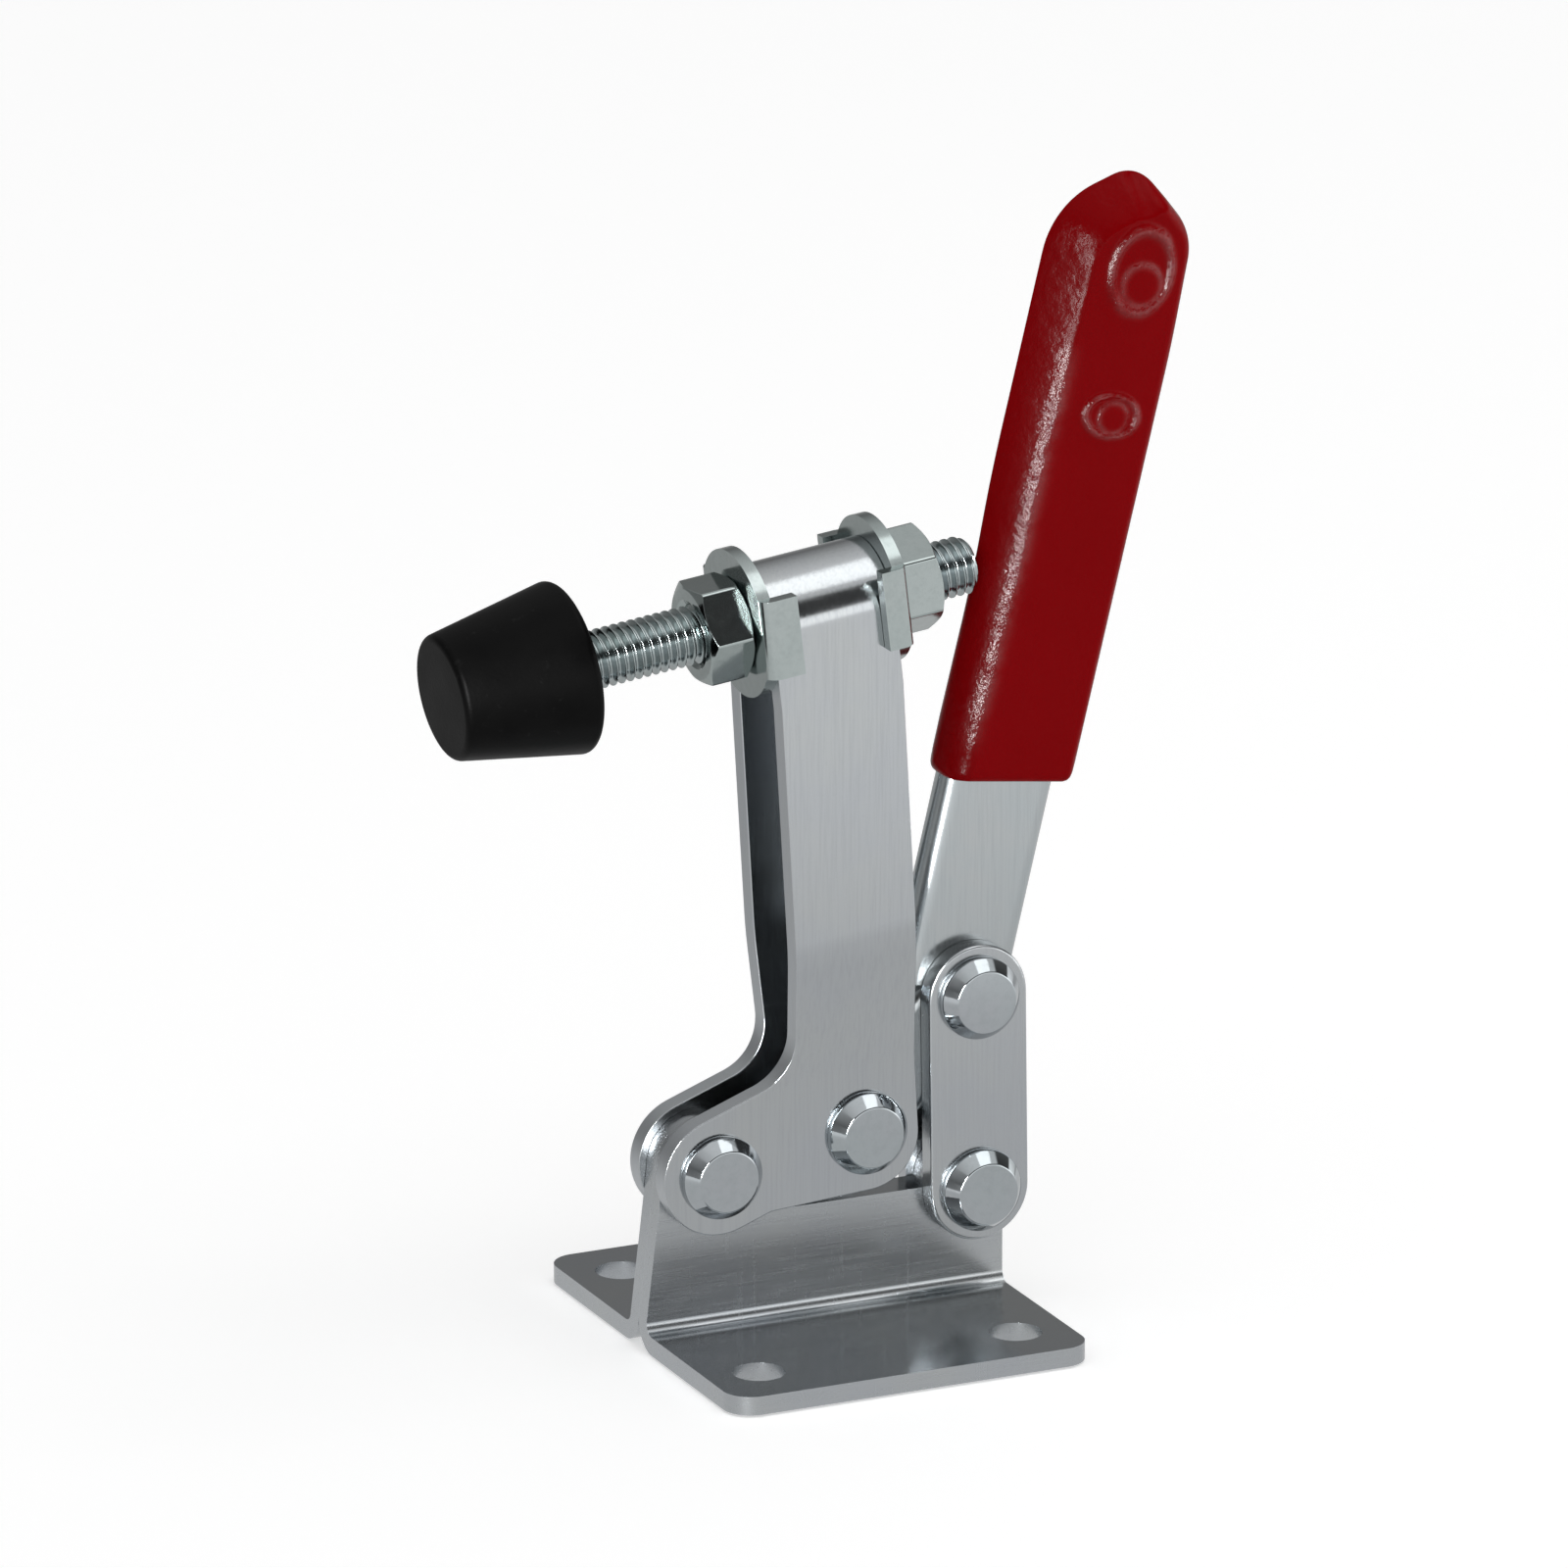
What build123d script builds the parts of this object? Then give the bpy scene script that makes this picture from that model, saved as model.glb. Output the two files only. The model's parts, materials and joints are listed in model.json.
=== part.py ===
"""Hold-down toggle clamp: flanged base, folded U-bar, folded handle and a rubber-tipped spindle.

Millimetres. +X points to the handle side, -X to the spindle's tip, +Z up.
The origin is the middle of the base's bottom face. The clamp stands open, as it rests on a bench.
"""

import os
from math import acos, atan2, cos, hypot, radians, sin, tan

from build123d import *

os.makedirs("parts", exist_ok=True)

# ---- fits and gaps -------------------------------------------------------------------------
SLIDE_GAP = 0.1          # between flat faces that turn past each other
BORE_CLEARANCE = 0.05    # radial, a pin or bush that turns in its bore
SHANK_CLEARANCE = 0.03   # radial, a rivet's shank in its holes
MOULD_GAP = 0.05         # between a moulded part and the metal it grips
BUSH_END_GAP = 0.02      # from a bush's end to the plate beside it

# ---- pivots, in the X-Z plane --------------------------------------------------------------
BAR_PIVOT = (-16.9, 24.6)        # base to bar
HANDLE_PIVOT = (4.6, 27.85)      # bar to handle
LINK_TOP_PIVOT = (21.35, 44.65)  # handle to links
LINK_FOOT_PIVOT = (21.75, 17.25) # links to base

# ---- base ----------------------------------------------------------------------------------
BASE_LENGTH = 53.0
BASE_WIDTH = 63.0
BASE_SHEET = 2.6
BASE_BEND = 1.6          # inside radius of the fold
BASE_CORNER = 4.0
HOLE_TO_END = 7.5        # from a hole's middle to the base's end
HOLE_TO_SIDE = 9.0       # from a hole's middle to the base's side
HOLE_PITCH_X = BASE_LENGTH - 2 * HOLE_TO_END
HOLE_PITCH_Y = BASE_WIDTH - 2 * HOLE_TO_SIDE
HOLE_D = 7.2
WEB_TOP = 17.6           # height of the low middle of the web
FRONT_EAR_R = 7.2
REAR_EAR_R = 6.2
EAR_BLEND = 3.0          # hollow where an ear runs into the low middle

# ---- bar -----------------------------------------------------------------------------------
BAR_SHEET = 3.0
BAR_LEAN = 4.0           # degrees, the plates' edges lean to the front
FOLD_LEAN = 6.8          # degrees, the fold and the spindle rise to the rear
BAR_FRONT = 11.85        # low edges of the upright plates, from the bar's pivot
BAR_REAR = 29.3
BAR_TOP = 81.6           # crown of the fold, above the bar's pivot
BAR_TOP_R = 8.4          # outside radius of the fold
SPREAD_HEIGHT = 28.0     # where the plates start to close in
SPREAD_ROUND = 34.0
CREASE_HEIGHT = 10.05    # where they stand upright again
FOOT_R = 8.3
FRONT_HOLLOW = (12.1, 7.5)  # height of the hollow above the foot, and its radius
HEEL_DROP = 6.6          # lower edge at the rear, below the pivot
HEEL_FRONT = 7.0         # front end of that edge
HEEL_R = 7.5

# ---- rivets and bushes ---------------------------------------------------------------------
RIVET_D = 6.0
RIVET_HEAD_D = 11.5
RIVET_TOP_D = 8.6
RIVET_HEAD_H = 2.8
RIVET_RIM_H = 0.9
BUSH_D = 8.0

# ---- links ---------------------------------------------------------------------------------
LINK_SHEET = 2.8
LINK_R = 7.25
EDGE_ROUND = 0.4         # softened edge of stamped plates

# ---- handle --------------------------------------------------------------------------------
HANDLE_LEAN = 13.5       # degrees, the lever leans to the rear
HANDLE_SHEET = 2.6
SEAM = 0.3               # slit between the folded sheet's two leaves
LEVER_FRONT = 1.8        # edges of the lever, from the handle's pivot
LEVER_REAR = 18.6
LEVER_TIP = (11.0, 132.8)    # meeting point of the two sloping shoulders
LEVER_FRONT_SHOULDER = 124.5
LEVER_REAR_SHOULDER = 125.5
LEVER_ROUNDS = (14.0, 2.0, 8.0)  # front shoulder, tip, rear shoulder
HANDLE_END_R = 7.4
LEVER_HOLES = ((12.7, 121.5, 3.2), (13.0, 101.5, 2.3))  # across, along, radius

# ---- grip ----------------------------------------------------------------------------------
GRIP_FRONT = 0.6
GRIP_REAR = 20.75
GRIP_START = (48.6, 50.7)    # lower end, at the front and at the rear
GRIP_TIP = (11.5, 135.35)    # meeting point of the two sloping shoulders
GRIP_FRONT_SHOULDER = 126.85
GRIP_REAR_SHOULDER = 127.6
GRIP_ROUNDS = (15.0, 3.8, 10.0)  # front shoulder, tip, rear shoulder
GRIP_THICK = 9.8
GRIP_SIDE_ROUND = 3.6

# ---- spindle, nuts, washers and tip --------------------------------------------------------
THREAD_D = 8.0
THREAD_CHAMFER = 0.8
SPINDLE_DROP = 7.36      # axis of the spindle, below the crown of the fold
SPINDLE_MIDDLE = 24.44   # middle of the fold, behind the bar's pivot
SEAT_HALF = 8.95         # from the fold's middle to each washer's seat
SPINDLE_REAR = 23.7      # rear end, from the fold's middle
TIP_FACE = 53.7          # front face of the rubber, from the fold's middle
TIP_LENGTH = 18.7
TIP_FRONT_D = 17.0
TIP_REAR_D = 24.0
TIP_ROUND = 1.1
TIP_COVER = 5.0          # rubber in front of the spindle's head
NUT_AF = 13.0
NUT_H = 6.5
NUT_FACE_D = 12.4        # round faces of a nut, inside the chamfer
NUT_CHAMFER = 30.0       # degrees
HEAD_H = 5.3
FRONT_NUT_TURN = 0.0     # degrees about the spindle
REAR_NUT_TURN = 24.0
WASHER_SHEET = 1.8
WASHER_R = BAR_TOP_R + WASHER_SHEET
WASHER_HOLE_D = 8.6
SEAT_MARGIN = 0.7        # flat edge of the bar below a washer
SEAT_DROP = WASHER_R + SEAT_MARGIN
LUG_HALF = 5.5           # half height of a washer's bent lug
LUG_REACH = (3.2, 2.2)   # how far the lugs lap over the bar, front and rear

WEB_HALF = BASE_SHEET
PLATE_IN = WEB_HALF + SLIDE_GAP
BAR_OUT = PLATE_IN + BAR_SHEET
LINK_OUT = PLATE_IN + LINK_SHEET
BUSH_HALF = PLATE_IN - BUSH_END_GAP
SHANK_HOLE_R = RIVET_D / 2 + SHANK_CLEARANCE
BUSH_HOLE_R = BUSH_D / 2 + BORE_CLEARANCE
NUT_CORNER_D = NUT_AF / cos(radians(30))


def along(angle):
    """Unit direction in the X-Z plane, angle degrees above +X."""
    return (cos(radians(angle)), 0, sin(radians(angle)))


def upright(pivot, angle):
    """Side plane through a pivot, its x axis angle degrees above +X, seen from -Y."""
    return Plane(origin=(pivot[0], 0, pivot[1]), x_dir=along(angle), z_dir=(0, -1, 0))


def touch(radius, corner, side):
    """Where a line from a corner touches a circle about the origin."""
    turn = atan2(corner[1], corner[0]) + side * acos(radius / hypot(*corner))
    return (radius * cos(turn), radius * sin(turn))


bar_side = upright(BAR_PIVOT, BAR_LEAN)
fold_side = upright(BAR_PIVOT, FOLD_LEAN)
lever_side = upright(HANDLE_PIVOT, -HANDLE_LEAN)
bar_across = Plane(origin=bar_side.origin, x_dir=(0, 1, 0), z_dir=along(FOLD_LEAN))
spindle_middle = fold_side.from_local_coords((SPINDLE_MIDDLE, BAR_TOP - SPINDLE_DROP, 0))
spindle_line = Plane(origin=spindle_middle, x_dir=(0, 1, 0), z_dir=along(FOLD_LEAN))
spindle_side = upright((spindle_middle.X, spindle_middle.Z), FOLD_LEAN)


def save(piece, name):
    piece.part.label = name
    export_step(piece.part, f"parts/{name}.step")


# ---- base: two folded halves, back to back -------------------------------------------------
for side, name in ((-1, "base_near_half"), (1, "base_far_half")):
    fold_r = BASE_BEND + BASE_SHEET
    with BuildPart() as base_half:
        with BuildSketch(Plane.YZ) as fold:
            with BuildLine():
                Polyline((side * fold_r, 0), (side * BASE_WIDTH / 2, 0),
                         (side * BASE_WIDTH / 2, BASE_SHEET), (side * fold_r, BASE_SHEET))
                RadiusArc((side * fold_r, BASE_SHEET), (side * BASE_SHEET, fold_r), side * BASE_BEND)
                Polyline((side * BASE_SHEET, fold_r), (side * BASE_SHEET, BASE_LENGTH),
                         (0, BASE_LENGTH), (0, fold_r))
                RadiusArc((0, fold_r), (side * fold_r, 0), -side * fold_r)
            make_face()
        extrude(amount=BASE_LENGTH / 2, both=True)

        with BuildSketch(Plane.XZ) as web:
            with BuildLine():
                Polyline((-BASE_LENGTH / 2, 0), (BASE_LENGTH / 2, 0), (BASE_LENGTH / 2, fold_r),
                         (LINK_FOOT_PIVOT[0] + REAR_EAR_R, LINK_FOOT_PIVOT[1]),
                         (LINK_FOOT_PIVOT[0] - REAR_EAR_R, LINK_FOOT_PIVOT[1]),
                         (LINK_FOOT_PIVOT[0] - REAR_EAR_R, WEB_TOP),
                         (BAR_PIVOT[0] + FRONT_EAR_R, WEB_TOP),
                         (BAR_PIVOT[0] + FRONT_EAR_R, BAR_PIVOT[1]),
                         (BAR_PIVOT[0] - FRONT_EAR_R, BAR_PIVOT[1]),
                         (-BASE_LENGTH / 2, fold_r), (-BASE_LENGTH / 2, 0))
            make_face()
            with Locations(BAR_PIVOT):
                Circle(FRONT_EAR_R)
            with Locations(LINK_FOOT_PIVOT):
                Circle(REAR_EAR_R)
            fillet(web.vertices().sort_by_distance((BAR_PIVOT[0] + FRONT_EAR_R, WEB_TOP))[0], EAR_BLEND)
        extrude(amount=BASE_WIDTH, both=True, mode=Mode.INTERSECT)

        outer_corners = base_half.edges().filter_by(Axis.Z)
        fillet(outer_corners.filter_by_position(Axis.Y, *sorted((side * BASE_WIDTH / 2 - 0.1,
                                                                  side * BASE_WIDTH / 2 + 0.1))), BASE_CORNER)
        with BuildSketch(Plane.XY):
            for end in (-1, 1):
                with Locations((end * HOLE_PITCH_X / 2, side * HOLE_PITCH_Y / 2)):
                    Circle(HOLE_D / 2)
        extrude(amount=fold_r, mode=Mode.SUBTRACT)
        with BuildSketch(Plane.XZ):
            with Locations(BAR_PIVOT, LINK_FOOT_PIVOT):
                Circle(BUSH_HOLE_R)
        extrude(amount=fold_r, both=True, mode=Mode.SUBTRACT)
    save(base_half, name)

# ---- bar: one sheet folded to a U over the spindle ------------------------------------------
top_centre = BAR_TOP - BAR_TOP_R
with BuildPart() as u_bar:
    for half, radius, mode in ((BAR_OUT, BAR_TOP_R, Mode.ADD),
                               (PLATE_IN, BAR_TOP_R - BAR_SHEET, Mode.SUBTRACT)):
        with BuildSketch(bar_across) as section:
            with BuildLine():
                Polyline((radius, top_centre), (radius, SPREAD_HEIGHT), (half, CREASE_HEIGHT),
                         (half, -2 * FOOT_R), (-half, -2 * FOOT_R), (-half, CREASE_HEIGHT),
                         (-radius, SPREAD_HEIGHT), (-radius, top_centre))
                ThreePointArc((-radius, top_centre), (0, top_centre + radius), (radius, top_centre))
            make_face()
            for side in (-1, 1):
                fillet(section.vertices().sort_by_distance((side * radius, SPREAD_HEIGHT))[0], SPREAD_ROUND)
        extrude(amount=2 * BAR_REAR, both=True, mode=mode)

    seats = [bar_side.to_local_coords(spindle_side.from_local_coords((end * SEAT_HALF, up, 0)))
             for end, up in ((-1, -SEAT_DROP), (-1, BAR_TOP_R), (1, BAR_TOP_R), (1, -SEAT_DROP))]
    hollow = (BAR_FRONT, FRONT_HOLLOW[0])
    heel = (HEEL_FRONT, -HEEL_DROP)
    with BuildSketch(bar_side) as outline:
        with BuildLine():
            Polyline((0, 0), touch(FOOT_R, hollow, 1), hollow, *[(seat.X, seat.Y) for seat in seats],
                     (BAR_REAR, -HEEL_DROP), heel, touch(FOOT_R, heel, -1), (0, 0))
        make_face()
        Circle(FOOT_R)
        fillet(outline.vertices().sort_by_distance((BAR_REAR, -HEEL_DROP))[0], HEEL_R)
        fillet(outline.vertices().sort_by_distance(hollow)[0], FRONT_HOLLOW[1])
    extrude(amount=2 * BAR_TOP_R, both=True, mode=Mode.INTERSECT)

    with BuildSketch(Plane.XZ):
        with Locations(BAR_PIVOT, HANDLE_PIVOT):
            Circle(SHANK_HOLE_R)
    extrude(amount=2 * BAR_TOP_R, both=True, mode=Mode.SUBTRACT)
save(u_bar, "u_bar")

# ---- handle: one sheet folded at the lever's front edge -------------------------------------
link_top = lever_side.to_local_coords(Vector(LINK_TOP_PIVOT[0], 0, LINK_TOP_PIVOT[1]))
fold_inside = LEVER_FRONT + HANDLE_SHEET
lever_top = ((LEVER_FRONT, LEVER_FRONT_SHOULDER), LEVER_TIP, (LEVER_REAR, LEVER_REAR_SHOULDER))
grip_top = ((GRIP_FRONT, GRIP_FRONT_SHOULDER), GRIP_TIP, (GRIP_REAR, GRIP_REAR_SHOULDER))
with BuildPart() as handle_lever:
    with BuildSketch(lever_side) as lever:
        Circle(HANDLE_END_R)
        with Locations((link_top.X, link_top.Y)):
            Circle(LEVER_REAR - link_top.X)
        make_hull()
        with BuildLine():
            Polyline((LEVER_FRONT, link_top.Y), *lever_top, (LEVER_REAR, link_top.Y), close=True)
        make_face()
        for corner, radius in zip(lever_top, LEVER_ROUNDS):
            fillet(lever.vertices().sort_by_distance(corner)[0], radius)
    extrude(amount=HANDLE_SHEET, both=True)
    front_edges = handle_lever.edges().filter_by(
        lambda e: abs(lever_side.to_local_coords(e.center()).X - LEVER_FRONT) < 0.1
        and e.length > LEVER_FRONT_SHOULDER / 2)
    fillet(front_edges, HANDLE_SHEET - 0.1)
    with BuildSketch(lever_side):
        with Locations(((fold_inside + 2 * LEVER_REAR) / 2, LEVER_TIP[1] / 2)):
            Rectangle(2 * LEVER_REAR - fold_inside, LEVER_TIP[1] + 4 * HANDLE_END_R)
        with Locations((0, 0)):
            Rectangle(4 * HANDLE_END_R, 2 * link_top.Y - 2 * HANDLE_END_R)
    extrude(amount=SEAM / 2, both=True, mode=Mode.SUBTRACT)
    with BuildSketch(lever_side):
        for across, up, radius in LEVER_HOLES:
            with Locations((across, up)):
                Circle(radius)
        with Locations((0, 0), (link_top.X, link_top.Y)):
            Circle(BUSH_HOLE_R)
    extrude(amount=2 * HANDLE_SHEET, both=True, mode=Mode.SUBTRACT)
save(handle_lever, "handle_lever")

with BuildPart() as hand_grip:
    with BuildSketch(lever_side) as shape:
        with BuildLine():
            Polyline((GRIP_FRONT, GRIP_START[0]), *grip_top, (GRIP_REAR, GRIP_START[1]), close=True)
        make_face()
        for corner, radius in zip(grip_top, GRIP_ROUNDS):
            fillet(shape.vertices().sort_by_distance(corner)[0], radius)
    extrude(amount=GRIP_THICK / 2, both=True)
    fillet(hand_grip.edges().filter_by(
        lambda e: abs(abs(e.center().Y) - GRIP_THICK / 2) < 0.01
        and lever_side.to_local_coords(e.center()).Y > GRIP_START[1] + 1), GRIP_SIDE_ROUND)
    with BuildSketch(lever_side) as core:
        with BuildLine():
            Polyline((LEVER_FRONT, 0), *lever_top, (LEVER_REAR, 0), close=True)
        make_face()
        for corner, radius in zip(lever_top, LEVER_ROUNDS):
            fillet(core.vertices().sort_by_distance(corner)[0], radius)
        offset(amount=MOULD_GAP)
    extrude(amount=HANDLE_SHEET + MOULD_GAP, both=True, mode=Mode.SUBTRACT)
save(hand_grip, "hand_grip")

# ---- links ----------------------------------------------------------------------------------
for side, name in ((1, "near_link"), (-1, "far_link")):
    with BuildPart() as link:
        with BuildSketch(Plane.XZ.offset(side * PLATE_IN)):
            with Locations(LINK_TOP_PIVOT, LINK_FOOT_PIVOT):
                Circle(LINK_R)
            make_hull()
            with Locations(LINK_TOP_PIVOT, LINK_FOOT_PIVOT):
                Circle(SHANK_HOLE_R, mode=Mode.SUBTRACT)
        extrude(amount=side * LINK_SHEET)
        outer_face = link.faces().sort_by(Axis.Y)[0 if side > 0 else -1]
        fillet(outer_face.outer_wire().edges(), EDGE_ROUND)
    save(link, name)

# ---- rivets and bushes ----------------------------------------------------------------------
for pivot, grip_half, name in ((BAR_PIVOT, BAR_OUT, "base_to_bar_rivet"),
                               (HANDLE_PIVOT, BAR_OUT, "bar_to_handle_rivet"),
                               (LINK_TOP_PIVOT, LINK_OUT, "handle_to_link_rivet")):
    with BuildPart() as rivet:
        with BuildSketch(Plane(origin=(pivot[0], 0, pivot[1]), x_dir=(1, 0, 0), z_dir=(0, 0, -1))):
            with BuildLine():
                Polyline((0, 0), (RIVET_D / 2, 0), (RIVET_D / 2, grip_half), (RIVET_HEAD_D / 2, grip_half),
                         (RIVET_HEAD_D / 2, grip_half + RIVET_RIM_H),
                         (RIVET_TOP_D / 2, grip_half + RIVET_HEAD_H), (0, grip_half + RIVET_HEAD_H), (0, 0))
            make_face()
        revolve(axis=Axis((pivot[0], 0, pivot[1]), (0, 1, 0)))
        mirror(about=Plane.XZ)
    save(rivet, name)

for side, name in ((1, "near_link_foot_rivet"), (-1, "far_link_foot_rivet")):
    pivot = LINK_FOOT_PIVOT
    with BuildPart() as rivet_half:
        with BuildSketch(Plane(origin=(pivot[0], 0, pivot[1]), x_dir=(1, 0, 0), z_dir=(0, 0, -side))):
            with BuildLine():
                Polyline((0, PLATE_IN), (RIVET_D / 2, PLATE_IN), (RIVET_D / 2, LINK_OUT),
                         (RIVET_HEAD_D / 2, LINK_OUT), (RIVET_HEAD_D / 2, LINK_OUT + RIVET_RIM_H),
                         (RIVET_TOP_D / 2, LINK_OUT + RIVET_HEAD_H), (0, LINK_OUT + RIVET_HEAD_H),
                         (0, PLATE_IN))
            make_face()
        revolve(axis=Axis((pivot[0], 0, pivot[1]), (0, 1, 0)))
    save(rivet_half, name)

for pivot, name in ((BAR_PIVOT, "bar_pivot_bush"), (HANDLE_PIVOT, "handle_pivot_bush"),
                    (LINK_TOP_PIVOT, "link_top_bush"), (LINK_FOOT_PIVOT, "link_foot_bush")):
    with BuildPart() as bush:
        with BuildSketch(Plane.XZ):
            with Locations(pivot):
                Circle(BUSH_D / 2)
                Circle(SHANK_HOLE_R, mode=Mode.SUBTRACT)
        extrude(amount=BUSH_HALF, both=True)
    save(bush, name)

# ---- spindle and rubber tip -----------------------------------------------------------------
head_front = -TIP_FACE + TIP_COVER
with BuildPart() as spindle:
    with BuildSketch(spindle_line.offset(head_front)):
        Circle(THREAD_D / 2)
    extrude(amount=SPINDLE_REAR - head_front)
    chamfer(spindle.faces().sort_by(Axis.X)[-1].edges(), THREAD_CHAMFER)
    with BuildSketch(spindle_line.offset(head_front)):
        RegularPolygon(NUT_AF / 2, 6, major_radius=False)
    extrude(amount=HEAD_H)
save(spindle, "spindle")

with BuildPart() as rubber_tip:
    with BuildSketch(spindle_side) as cone:
        with BuildLine():
            Polyline((-TIP_FACE, 0), (-TIP_FACE, TIP_FRONT_D / 2), (-TIP_FACE + TIP_LENGTH, TIP_REAR_D / 2),
                     (-TIP_FACE + TIP_LENGTH, 0), (-TIP_FACE, 0))
        make_face()
        for corner in ((-TIP_FACE, TIP_FRONT_D / 2), (-TIP_FACE + TIP_LENGTH, TIP_REAR_D / 2)):
            fillet(cone.vertices().sort_by_distance(corner)[0], TIP_ROUND)
    revolve(axis=Axis(spindle_middle, spindle_line.z_dir))
    with BuildSketch(spindle_line.offset(head_front - MOULD_GAP)):
        RegularPolygon(NUT_AF / 2 + MOULD_GAP, 6, major_radius=False)
    extrude(amount=HEAD_H + 2 * MOULD_GAP, mode=Mode.SUBTRACT)
    with BuildSketch(spindle_line.offset(head_front)):
        Circle(THREAD_D / 2 + MOULD_GAP)
    extrude(amount=TIP_LENGTH, mode=Mode.SUBTRACT)
save(rubber_tip, "rubber_tip")

# ---- nuts and flanged washers ---------------------------------------------------------------
chamfer_slope = tan(radians(NUT_CHAMFER))
for end, reach, turn, place in ((-1, LUG_REACH[0], FRONT_NUT_TURN, "front"),
                                (1, LUG_REACH[1], REAR_NUT_TURN, "rear")):
    seat = spindle_line.offset(end * SEAT_HALF)
    lug_in = BAR_TOP_R + SLIDE_GAP
    lug_out = lug_in + WASHER_SHEET
    with BuildPart() as washer:
        with BuildSketch(seat):
            Circle(WASHER_R)
            Rectangle(2 * lug_out, 2 * LUG_HALF)
        extrude(amount=end * WASHER_SHEET)
        with BuildSketch(seat):
            for side in (-1, 1):
                with Locations((side * (lug_in + lug_out) / 2, 0)):
                    Rectangle(WASHER_SHEET, 2 * LUG_HALF)
        extrude(amount=-end * reach)
        fillet(washer.edges().filter_by(
            lambda e: abs(abs(e.center().Y) - lug_out) < 0.01 and e.length > LUG_HALF
            and abs(seat.to_local_coords(e.center()).Z - end * WASHER_SHEET) < 0.01), WASHER_SHEET - 0.1)
        with BuildSketch(seat):
            Circle(WASHER_HOLE_D / 2)
        extrude(amount=end * WASHER_SHEET, mode=Mode.SUBTRACT)
    save(washer, f"{place}_washer")

    nut_face = spindle_line.offset(end * (SEAT_HALF + WASHER_SHEET))
    with BuildPart() as nut:
        with BuildSketch(nut_face):
            RegularPolygon(NUT_AF / 2, 6, major_radius=False, rotation=turn)
        extrude(amount=end * NUT_H)
        start = SEAT_HALF + WASHER_SHEET
        chamfer_rise = (NUT_CORNER_D - NUT_FACE_D) * chamfer_slope
        with BuildSketch(spindle_side):
            with BuildLine():
                Polyline((end * start, 0), (end * start, NUT_FACE_D / 2),
                         (end * (start + chamfer_rise), NUT_CORNER_D - NUT_FACE_D / 2),
                         (end * (start + NUT_H - chamfer_rise), NUT_CORNER_D - NUT_FACE_D / 2),
                         (end * (start + NUT_H), NUT_FACE_D / 2), (end * (start + NUT_H), 0),
                         (end * start, 0))
            make_face()
        revolve(axis=Axis(spindle_middle, spindle_line.z_dir), mode=Mode.INTERSECT)
        with BuildSketch(nut_face):
            Circle(THREAD_D / 2 + BORE_CLEARANCE)
        extrude(amount=end * NUT_H, mode=Mode.SUBTRACT)
    save(nut, f"{place}_nut")
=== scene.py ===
"""Looks of the hold-down toggle clamp: zinc-plated steel, a rubber tip and a dipped vinyl grip.

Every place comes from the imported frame's joints and boxes. Lengths are in millimetres and MM turns
them into metres. Camera, lamps, floor and shader distances are in metres as Blender takes them.
"""

import json
from math import ceil, cos, hypot, pi, radians, sin, tan

import bmesh
import bpy
import numpy as np
from mathutils import Matrix, Vector

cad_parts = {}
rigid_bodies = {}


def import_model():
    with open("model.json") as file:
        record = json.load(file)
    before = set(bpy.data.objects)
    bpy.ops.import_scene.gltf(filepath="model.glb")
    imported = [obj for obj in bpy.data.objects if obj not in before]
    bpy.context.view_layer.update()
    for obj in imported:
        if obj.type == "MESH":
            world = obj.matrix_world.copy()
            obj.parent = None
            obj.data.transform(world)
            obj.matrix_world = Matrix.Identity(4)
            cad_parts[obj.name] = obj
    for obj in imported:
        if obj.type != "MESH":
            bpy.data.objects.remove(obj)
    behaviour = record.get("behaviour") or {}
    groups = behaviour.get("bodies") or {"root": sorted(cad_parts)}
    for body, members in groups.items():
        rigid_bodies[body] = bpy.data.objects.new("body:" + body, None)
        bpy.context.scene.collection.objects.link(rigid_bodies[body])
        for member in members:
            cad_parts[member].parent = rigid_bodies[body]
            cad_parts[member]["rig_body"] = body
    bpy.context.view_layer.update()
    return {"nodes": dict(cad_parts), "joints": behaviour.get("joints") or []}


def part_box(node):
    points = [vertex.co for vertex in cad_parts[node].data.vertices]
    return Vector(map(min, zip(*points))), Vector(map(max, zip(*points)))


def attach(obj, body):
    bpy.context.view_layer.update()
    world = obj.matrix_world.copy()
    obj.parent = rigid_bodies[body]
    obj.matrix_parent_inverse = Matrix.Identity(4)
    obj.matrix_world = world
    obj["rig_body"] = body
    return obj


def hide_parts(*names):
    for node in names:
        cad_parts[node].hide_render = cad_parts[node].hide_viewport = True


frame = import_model()

MM = 0.001
UP = Vector((0, 0, 1))


# ---- places taken from the frame ---------------------------------------------------------------
def middle(node):
    """Centre of a node's box."""
    low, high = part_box(node)
    return (low + high) / 2


def body_of(node):
    """The body that a node moves with."""
    return frame["nodes"][node]["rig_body"]


joints = {joint["name"]: joint for joint in frame["joints"]}
BAR_PIVOT = Vector(joints["bar_pivot"]["pos_m"])
HANDLE_PIVOT = Vector(joints["handle_pivot"]["pos_m"])
LINK_TOP = Vector(joints["link_pivot"]["pos_m"])
LINK_FOOT = middle("near_link_foot_rivet")
SPINDLE_AXIS = -Vector(joints["spindle_adjust"]["axis"]).normalized()   # from the tip to the rear
FOLD_MIDDLE = (middle("front_nut") + middle("rear_nut")) / 2

# ---- sizes shared with the solids --------------------------------------------------------------
RIVET_D = 6.0
RIVET_HEAD_D = 11.5
RIVET_TOP_D = 8.6
RIVET_HEAD_H = 2.8
RIVET_RIM_H = 0.9
RIVET_CORNER_ROUNDS = (0.15, 0.5, 0.4)   # rim's foot, rim's top, edge of the flat top
# outer faces of the bar and the links and of the base's web, from the middle plane
BAR_SIDE = 5.7
LINK_SIDE = 5.5
WEB_SIDE = 2.7

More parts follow.
